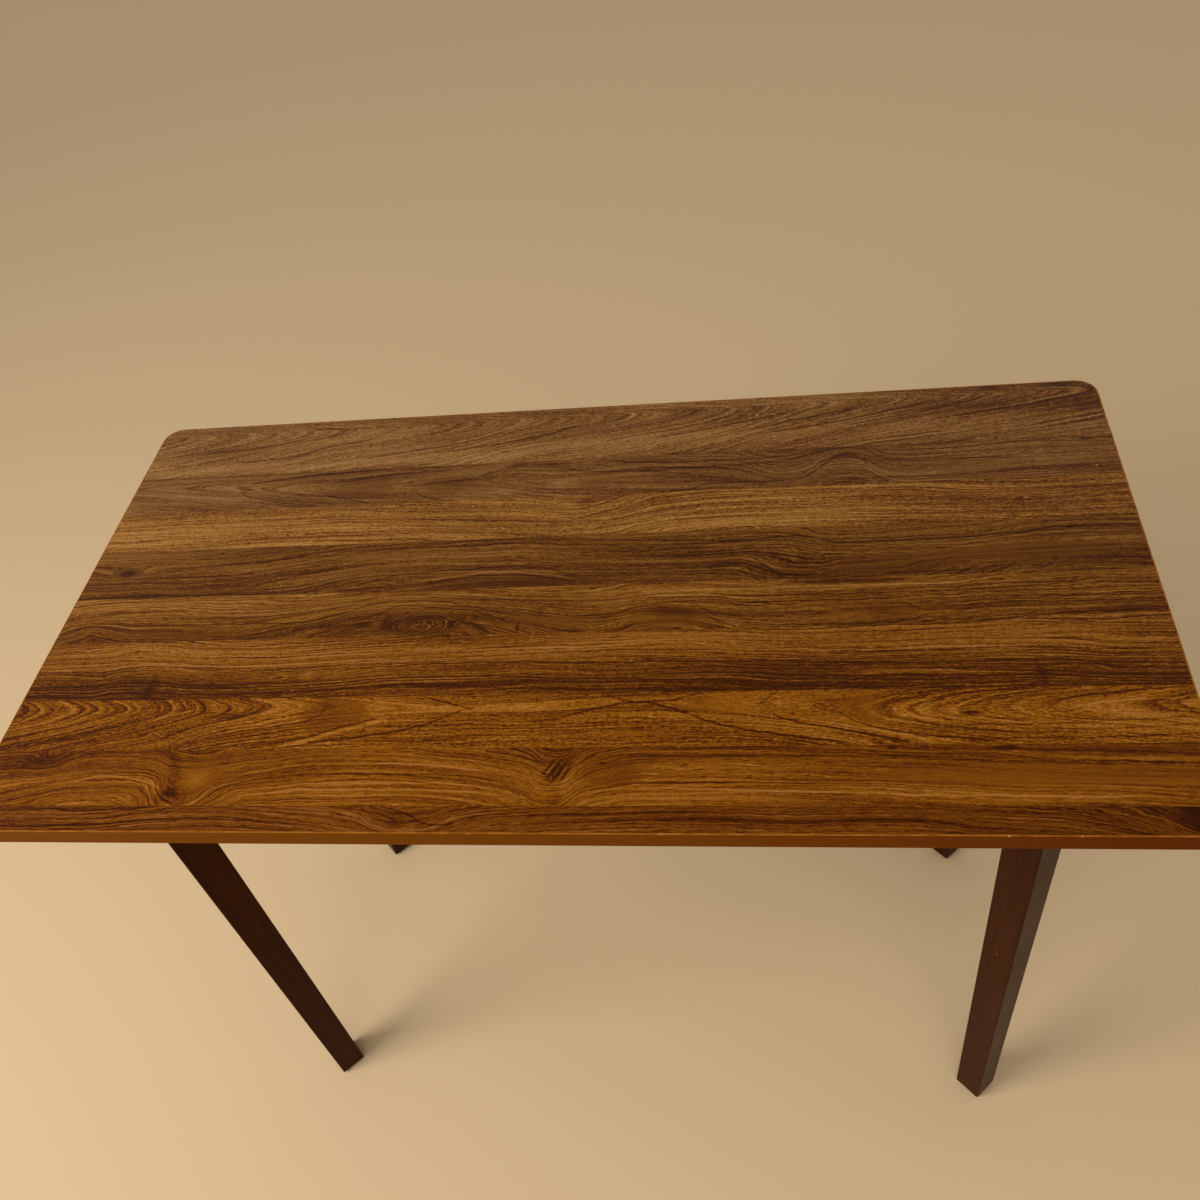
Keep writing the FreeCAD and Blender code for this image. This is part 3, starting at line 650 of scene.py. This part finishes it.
# Strip 8: long humps of grain on both sides of a small slanting knot.
strip_8 = dict(
    body=(0.16, 0.043, 0.001), ring=5, rings=0.34, fleck=0.6, bands=0.8, figure=1.05,
    shade=[(-255.5, 0.58), (-236, 0.6), (-216, 0.47), (-196, 0.39)],
    path=[(-534, -16), (-470, -6), (-400, 4), (-360, -2), (-330, -10), (-305, -6), (-250, 2), (-180, 6),
        (-100, 3), (-50, -3), (-15, -13), (6, -22), (22, -12), (50, -1), (100, 5), (200, 4), (400, -6),
        (534, -12)],
    spots=[(-328, -262, 64, 36, 0, 22, LINEAR), (-470, -203, 40, 18, 15, 12, SMOOTH)],
    eyes=[(7, -221, 12, 5, 62)],
    pools=[(400, -226, 190, 14, 0, 0.5), (-316, -226, 26, 22, 0, 0.54), (52, -222, 34, 20, 0, 0.46)],
    traces=[
        ([(-318, -248), (-296, -238), (-270, -230), (-200, -223), (-94, -224), (-20, -238)], 1.6, 0.34),
        ([(-300, -232), (-250, -217), (-200, -212), (-148, -212), (-50, -220)], 1.7, -0.45),
        ([(-290, -246), (-240, -236), (-180, -232), (-100, -233), (-30, -244)], 1.5, -0.35),
        ([(-472, -235), (-432, -228), (-405, -224), (-378, -228), (-342, -242)], 1.6, -0.5),
        ([(-60, -199), (-25, -206), (0, -216)], 1.6, 0.45),
        ([(20, -221), (35, -212), (54, -206), (81, -205), (243, -206), (405, -214), (513, -217)],
         2.6, 0.32),
        ([(23, -215), (35, -205), (48, -200), (70, -196)], 1.5, 0.45),
        ([(16, -250), (40, -243), (68, -238), (162, -240), (324, -245), (510, -247)], 1.7, -0.42),
        ([(-290, -252), (-250, -243), (-200, -239), (-100, -240), (-10, -249)], 1.5, -0.42)],
    stains=[(-180, -232, 75, 26, 0, -0.16), (62, -224, 60, 28, 0, 0.14), (7, -221, 24, 14, 62, 0.34),
        (-1, -217, 14, 1.8, 58, 0.5), (4, -219, 19, 1.8, 60, 0.5), (9, -222, 20, 1.8, 62, 0.5),
        (14, -225, 14, 1.8, 66, 0.5), (1.5, -218, 13, 1.4, 60, -0.4), (6.5, -220.5, 14, 1.4, 62, -0.45),
        (12, -223, 12, 1.4, 64, -0.4), (8, -246, 10, 14, 0, 0.15), (-318, -228, 16, 14, 0, -0.2),
        (-342, -246, 20, 14, 0, 0.35), (-342, -224, 10, 30, 18, 0.25), (-480, -205, 34, 14, 20, 0.25),
        (375, -199.5, 13, 2.6, 0, 1.0), (285, -199.5, 6, 1.8, 0, 0.8), (45, -213, 5, 2, 0, 0.5)])

# Strip 9, along the front edge: dark, with a dip left of the middle and a dark right end.
strip_9 = dict(
    body=(0.122, 0.03, 0.0007), ring=5, rings=0.42, painted_light_drift=(0.1, -0.09), fleck=0.5, figure=1.3,
    shade=[(-282.5, 0.45), (-270, 0.5), (-255.5, 0.45)],
    path=[(-534, -4), (-420, -4), (-320, 4), (-220, 0), (-160, -8), (-115, -22), (-80, -14), (-30, -4),
        (50, 2), (250, 3), (360, -4), (420, -7), (470, -18), (500, -34), (534, -60)],
    traces=[
        ([(-146, -254), (-110, -267), (-100, -273), (-84, -274), (-70, -268), (4, -259)], 1.4, 0.55),
        ([(-200, -255), (-160, -260), (-134, -266), (-122, -275)], 1.4, 0.45),
        ([(-448, -255), (-424, -261), (-400, -260), (-345, -256)], 1.7, 0.5),
        ([(-486, -276), (-405, -275), (-324, -269), (-216, -273), (-178, -279)], 1.5, 0.4)],
    stains=[(-125, -272, 14, 10, 0, 0.2), (512, -266, 46, 24, -35, 0.45)])

strips = [strip_1, strip_2, strip_3, strip_4, strip_5, strip_6, strip_7, strip_8, strip_9]

sheet_edit = bmesh.new()
bmesh.ops.create_grid(sheet_edit, x_segments=1, y_segments=1, size=0.5)
sheet_size = (sheet_high.x - sheet_low.x, sheet_high.y - sheet_low.y, 1.0)
bmesh.ops.scale(sheet_edit, vec=sheet_size, verts=sheet_edit.verts)
bmesh.ops.translate(sheet_edit, vec=(0.0, 0.0, sheet_high.z), verts=sheet_edit.verts)
bmesh.ops.bevel(sheet_edit, geom=sheet_edit.verts[:], offset=sheet_corner_radius, offset_type="OFFSET",
                affect="VERTICES", segments=sheet_corner_steps, profile=0.5, material=-1)
for border in strip_borders:
    bmesh.ops.bisect_plane(sheet_edit, geom=sheet_edit.verts[:] + sheet_edit.edges[:] + sheet_edit.faces[:],
                           plane_co=(0.0, mm * border, 0.0), plane_no=(0.0, 1.0, 0.0))
for face in sheet_edit.faces:
    middle = face.calc_center_median().y
    face.material_index = sum(middle < mm * border for border in strip_borders)
lower = bmesh.ops.extrude_face_region(sheet_edit, geom=sheet_edit.faces[:], use_keep_orig=True)
lower_verts = [part for part in lower["geom"] if isinstance(part, bmesh.types.BMVert)]
bmesh.ops.translate(sheet_edit, vec=(0.0, 0.0, sheet_low.z - sheet_high.z), verts=lower_verts)
bmesh.ops.recalc_face_normals(sheet_edit, faces=sheet_edit.faces[:])
sheet = make_object("walnut_decor_sheet", mesh_from(sheet_edit, "walnut_decor_sheet"),
                    [walnut_strip(number, **strip) for number, strip in enumerate(strips, 1)])
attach(sheet, "root")
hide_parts("walnut_face_sheet")


# ------------------------------------------------------------------------------
# Edge band: a thin amber-brown edging glued round the board, satin. Its trimmed upper edge is a pale
# line, partly worn edging and partly a painted highlight along the arris, and the front has a few small
# chips.
band_low, band_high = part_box("edge_band")
amber_tones = [(0.0, (0.146, 0.041, 0.0004)), (0.6, (0.133, 0.035, 0.0003)), (1.0, (0.098, 0.0165, 0.0002))]
# Colour of the pale upper edge: partly wear, partly a painted highlight along the arris.
rim_highlight_and_wear_amber = (0.30, 0.100, 0.012)
bare_chip = (0.42, 0.23, 0.085)
band_roughness = 0.34
band_gloss = 0.02
band_streaks = (14.0, 14.0, 500.0)
band_streak_gain = 0.5
band_relief_scale = 220.0
band_relief = 0.15
band_relief_depth = 0.3 * mm
rim_highlight_and_wear_height = 0.5 * mm
full_rim_highlight_and_wear_height = 0.2 * rim_highlight_and_wear_height
rim_line_scale = 60.0
rim_line_patches = [(0.35, 0.35), (0.60, 1.0)]
chip_inset = 0.3 * mm
front_chips = [(-61.0, 0.6), (99.0, 0.7), (366.0, 1.1), (386.0, 0.5), (419.0, 0.8)]


def tint(tree, share, colour, paint):
    """Colour with a share of a paint over it."""
    mixed = place(tree, "Mix", {0: share, 6: colour, 7: (*paint, 1.0)}, data_type="RGBA")
    return mixed.outputs[2]


def dab(tree, where, point, radius):
    """One inside a small ball, falling to nothing at twice its radius."""
    away = place(tree, "VectorMath", {0: where, 1: point}, operation="DISTANCE")
    return remap(tree, away.outputs["Value"], radius, 2.0 * radius, 1.0, 0.0)


def cloud(tree, where, scale, detail=2.0):
    """Noise of one scale in all directions."""
    texture = place(tree, "TexNoise", {"Vector": where, "Scale": scale, "Detail": detail})
    return texture.outputs[0]


def finish(material, *names):
    """Give a material to nodes of the construction."""
    for name in names:
        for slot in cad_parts[name].material_slots:
            slot.material = material


def amber_edging():
    """Plain edging, darker to the right, with a pale upper edge that is partly wear and partly a painted
    highlight, and its chips.
    """
    material, tree, shader = new_material("amber_edging", band_roughness, band_gloss)
    where = object_point(tree)
    parts = place(tree, "SeparateXYZ", {0: where}).outputs
    lie = place(tree, "Mapping", {"Vector": where, "Scale": band_streaks})
    streaks = cloud(tree, lie.outputs[0], 1.0, detail=3.0)
    tone = add_noise(tree, remap(tree, parts["X"], band_low.x, band_high.x), band_streak_gain, streaks)
    # Painted highlight and wear: a pale line along the upper arris, broken into patches.
    rim = remap(tree, parts["Z"], band_high.z - rim_highlight_and_wear_height, band_high.z - full_rim_highlight_and_wear_height)
    patches = grey_ramp(tree, cloud(tree, where, rim_line_scale, detail=4.0), rim_line_patches)
    rim_highlight_and_wear = calc(tree, "MULTIPLY", rim, patches)
    colour = tint(tree, rim_highlight_and_wear, ramp(tree, tone, amber_tones), rim_highlight_and_wear_amber)
    for chip_x, chip_width in front_chips:
        chip_place = (mm * chip_x, band_low.y + chip_inset, band_high.z - chip_inset)
        chip = dab(tree, where, chip_place, 0.5 * mm * chip_width)
        colour = tint(tree, chip, colour, bare_chip)
    tree.links.new(colour, shader.inputs["Base Color"])
    relief = cloud(tree, where, band_relief_scale, detail=3.0)
    add_relief(tree, shader, relief, band_relief, band_relief_depth)
    return material


finish(amber_edging(), "edge_band")


# ------------------------------------------------------------------------------
# Board: a wood-fibre core of pressed fine fibres, and under it a brown backer sheet, a matt
# resin paper with a faint mottle of fibres.
fibreboard_tones = [(0.25, (0.21, 0.125, 0.062)), (0.5, (0.30, 0.19, 0.10)), (0.75, (0.40, 0.27, 0.155))]
backer_tones = [(0.28, (0.040, 0.019, 0.0095)), (0.5, (0.060, 0.030, 0.015)), (0.72, (0.082, 0.043, 0.023))]
board_patch_scale = 9.0
board_patch_gain = 0.35


def mottled(name, tones, roughness, gloss, scale, stretch, relief, relief_depth):
    """Material with a fine mottle, stretched along the table."""
    material, tree, shader = new_material(name, roughness, gloss)
    where = object_point(tree)
    lie = place(tree, "Mapping", {"Vector": where, "Scale": (scale / stretch, scale, scale)})
    grain = cloud(tree, lie.outputs[0], 1.0, detail=4.0)
    tone = add_noise(tree, grain, board_patch_gain, cloud(tree, where, board_patch_scale, detail=3.0))
    tree.links.new(ramp(tree, tone, tones), shader.inputs["Base Color"])
    add_relief(tree, shader, grain, relief, relief_depth)
    return material


finish(mottled("fibreboard", fibreboard_tones, roughness=0.85, gloss=0.3, scale=900.0, stretch=2.0,
               relief=0.4, relief_depth=0.3 * mm), "top_core")
finish(mottled("brown_backer", backer_tones, roughness=0.55, gloss=0.4, scale=500.0, stretch=4.0,
               relief=0.25, relief_depth=0.2 * mm), "underside_backer_sheet")


# ------------------------------------------------------------------------------
# Legs and frame under the top: solid hardwood, stained espresso and sprayed with satin lacquer.
# The grain runs along each board; the front right leg has one small chip.
espresso_tones = [
    (0.25, (0.027, 0.0052, 0.0005)), (0.5, (0.037, 0.0074, 0.0008)), (0.78, (0.048, 0.0104, 0.0013))]
espresso_roughness = 0.33
espresso_gloss = 0.04
espresso_sheen_scale = 14.0
espresso_sheen = [(0.3, espresso_roughness - 0.02), (0.7, espresso_roughness + 0.03)]
espresso_cloud_gain = 0.3
espresso_pore_gain = 0.35
espresso_relief = 0.2
espresso_relief_depth = 0.3 * mm
leg_chip = (410.4 * mm, -185.3 * mm, 375.7 * mm)
leg_chip_radius = 0.5 * mm
corner_names = ["front_left", "front_right", "back_left", "back_right"]

# Grain of a board: scale along it, scale across it, detail. And how a board lies.
espresso_pores = (45.0, 1100.0, 3.0)
espresso_streaks = (5.0, 170.0, 4.0)
espresso_clouds = (2.0, 22.0, 2.0)
along_x = (0.0, 0.0, 0.0)
along_y = (0.0, 0.0, math.radians(90.0))
along_z = (0.0, math.radians(-90.0), 0.0)
rising = (0.0, 0.0, math.radians(45.0))
falling = (0.0, 0.0, math.radians(-45.0))


def grain_noise(tree, where, turn, length_scale, width_scale, detail):
    """Noise drawn out along the grain, which the turn takes from the X axis."""
    lie = place(tree, "Mapping", {
        "Vector": where, "Rotation": turn,
        "Scale": (1.0 / length_scale, 1.0 / width_scale, 1.0 / width_scale)}, vector_type="TEXTURE")
    return cloud(tree, lie.outputs[0], 1.0, detail)


def espresso_wood(name, turn):
    """Stained and lacquered wood with its grain turned from the X axis."""
    material, tree, shader = new_material(name, espresso_roughness, espresso_gloss)
    where = object_point(tree)
    pores = grain_noise(tree, where, turn, *espresso_pores)
    tone = grain_noise(tree, where, turn, *espresso_streaks)
    tone = add_noise(tree, tone, espresso_cloud_gain, grain_noise(tree, where, turn, *espresso_clouds))
    tone = add_noise(tree, tone, espresso_pore_gain, pores)
    chip = dab(tree, where, leg_chip, leg_chip_radius)
    colour = tint(tree, chip, ramp(tree, tone, espresso_tones), bare_chip)
    tree.links.new(colour, shader.inputs["Base Color"])
    sheen = grey_ramp(tree, cloud(tree, where, espresso_sheen_scale, detail=3.0), espresso_sheen)
    tree.links.new(sheen, shader.inputs["Roughness"])
    add_relief(tree, shader, pores, espresso_relief, espresso_relief_depth)
    return material


finish(espresso_wood("espresso_upright", along_z), *[corner + "_leg" for corner in corner_names])
finish(espresso_wood("espresso_long", along_x), "front_apron", "back_apron")
finish(espresso_wood("espresso_short", along_y), "left_apron", "right_apron", "centre_rail")
finish(espresso_wood("espresso_rising", rising), "front_right_corner_brace", "back_left_corner_brace")
finish(espresso_wood("espresso_falling", falling), "front_left_corner_brace", "back_right_corner_brace")


# ------------------------------------------------------------------------------
# Dowels: plain beech rod with small dark flecks, glued into the joints of the frame.
# The rod is turned, so its grain runs straight from end to end.
beech_tones = [(0.3, (0.42, 0.26, 0.12)), (0.5, (0.52, 0.34, 0.17)), (0.7, (0.60, 0.41, 0.22))]
beech_roughness = 0.6
beech_streaks = (30.0, 500.0, 3.0)
beech_flecks = (300.0, 1500.0, 1.0)
beech_fleck_edge = [(0.62, 0.0), (0.70, 1.0)]
beech_fleck_gain = 0.2


def beech_wood(name, turn):
    """Pale wood with its grain turned from the X axis."""
    material, tree, shader = new_material(name, beech_roughness)
    where = object_point(tree)
    flecks = grey_ramp(tree, grain_noise(tree, where, turn, *beech_flecks), beech_fleck_edge)
    tone = calc(tree, "MULTIPLY_ADD", flecks, -beech_fleck_gain,
                grain_noise(tree, where, turn, *beech_streaks))
    tree.links.new(ramp(tree, tone, beech_tones), shader.inputs["Base Color"])
    return material


finish(beech_wood("beech_long", along_x), "corner_dowels")
finish(beech_wood("beech_cross", along_y), "centre_rail_dowels")


# ------------------------------------------------------------------------------
# Zinc-plated steel: washers, nuts, brackets, screws and nails, bright plating that has dulled
# in soft patches and is finely scratched.
zinc_tones = [(0.3, (0.46, 0.45, 0.42)), (0.5, (0.60, 0.59, 0.56)), (0.7, (0.72, 0.71, 0.68))]
zinc_patch_scale = 180.0
zinc_sheen_scale = 400.0
zinc_scratch_scale = 1500.0
zinc_roughness = 0.34
zinc_sheen = [(0.3, zinc_roughness - 0.08), (0.7, zinc_roughness + 0.12)]
zinc_relief = 0.12
zinc_relief_depth = 0.1 * mm


def zinc_plate():
    """Bright metal, dulled in patches and finely scratched."""
    material, tree, shader = new_material("zinc_plate", zinc_roughness)
    shader.inputs["Metallic"].default_value = 1.0
    where = object_point(tree)
    patches = cloud(tree, where, zinc_patch_scale, detail=4.0)
    tree.links.new(ramp(tree, patches, zinc_tones), shader.inputs["Base Color"])
    dulled = grey_ramp(tree, cloud(tree, where, zinc_sheen_scale), zinc_sheen)
    tree.links.new(dulled, shader.inputs["Roughness"])
    add_relief(tree, shader, cloud(tree, where, zinc_scratch_scale), zinc_relief, zinc_relief_depth)
    return material


zinc = zinc_plate()
finish(zinc, "flat_washers", "split_washers", "hex_nuts", "foot_pad_nails")
finish(zinc, "angle_brackets", "top_screws", "apron_screws")


# ------------------------------------------------------------------------------
# Hanger bolts: zinc-plated steel, with a rolled machine thread on the end that takes the nut
# and a plain pointed end in the leg.
bolt_radius = 4.0 * mm
thread_root_radius = 3.45 * mm
thread_pitch = 1.25 * mm
thread_length = 31.0 * mm
bolt_tail_chamfer = 0.8 * mm
bolt_in_brace_and_nuts = 31.1 * mm
bolt_in_leg = 25.0 * mm
bolt_point_length = 5.0 * mm
bolt_point_radius = bolt_radius / 3.0
brace_face_place = (409.358 * mm, 158.358 * mm)
bolt_heights = (725.0 * mm, 699.0 * mm)
bolt_sides = 24
merge_distance = 0.001 * mm

bolt_profile = [(0.0, 0.0), (0.0, bolt_radius - bolt_tail_chamfer), (bolt_tail_chamfer, bolt_radius)]
thread_turns = int((thread_length - bolt_tail_chamfer) / thread_pitch)
for turn in range(thread_turns):
    crest_end = bolt_tail_chamfer + thread_pitch * turn
    bolt_profile.append((crest_end + 0.5 * thread_pitch, thread_root_radius))
    bolt_profile.append((crest_end + thread_pitch, bolt_radius))
bolt_straight = bolt_in_brace_and_nuts + bolt_in_leg - bolt_point_length
bolt_profile.append((bolt_straight, bolt_radius))
bolt_profile.append((bolt_straight + bolt_point_length, bolt_point_radius))
bolt_profile.append((bolt_straight + bolt_point_length, 0.0))

bolt_edit = bmesh.new()
for side_x in (-1.0, 1.0):
    for side_y in (-1.0, 1.0):
        for bolt_height in bolt_heights:
            into_leg = Vector((side_x, side_y, 0.0)).normalized()
            mouth = Vector((side_x * brace_face_place[0], side_y * brace_face_place[1], bolt_height))
            tail = mouth - into_leg * bolt_in_brace_and_nuts
            bolt_lie = Matrix.Translation(tail) @ into_leg.to_track_quat("X", "Z").to_matrix().to_4x4()
            line = [bolt_edit.verts.new(bolt_lie @ Vector((along, 0.0, out))) for along, out in bolt_profile]
            spine = [bolt_edit.edges.new(pair) for pair in zip(line, line[1:])]
            bmesh.ops.spin(bolt_edit, geom=line + spine, cent=tail, axis=into_leg, dvec=(0.0, 0.0, 0.0),
                           angle=math.tau, steps=bolt_sides, use_merge=True, use_duplicate=False)
bmesh.ops.remove_doubles(bolt_edit, verts=bolt_edit.verts[:], dist=merge_distance)
bmesh.ops.recalc_face_normals(bolt_edit, faces=bolt_edit.faces[:])
bolts = make_object("threaded_hanger_bolts", mesh_from(bolt_edit, "threaded_hanger_bolts"), [zinc])
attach(bolts, "root")
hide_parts("hanger_bolts")


# ------------------------------------------------------------------------------
# Foot pads: black moulded plastic with a fine matt grain, scuffed a little grey. One is nailed
# under each foot.
pad_tones = [(0.35, (0.009, 0.009, 0.010)), (0.6, (0.016, 0.016, 0.017)), (0.8, (0.040, 0.039, 0.038))]
finish(mottled("black_plastic", pad_tones, roughness=0.55, gloss=0.5, scale=700.0, stretch=1.0,
               relief=0.3, relief_depth=0.2 * mm), *[corner + "_foot_pad" for corner in corner_names])
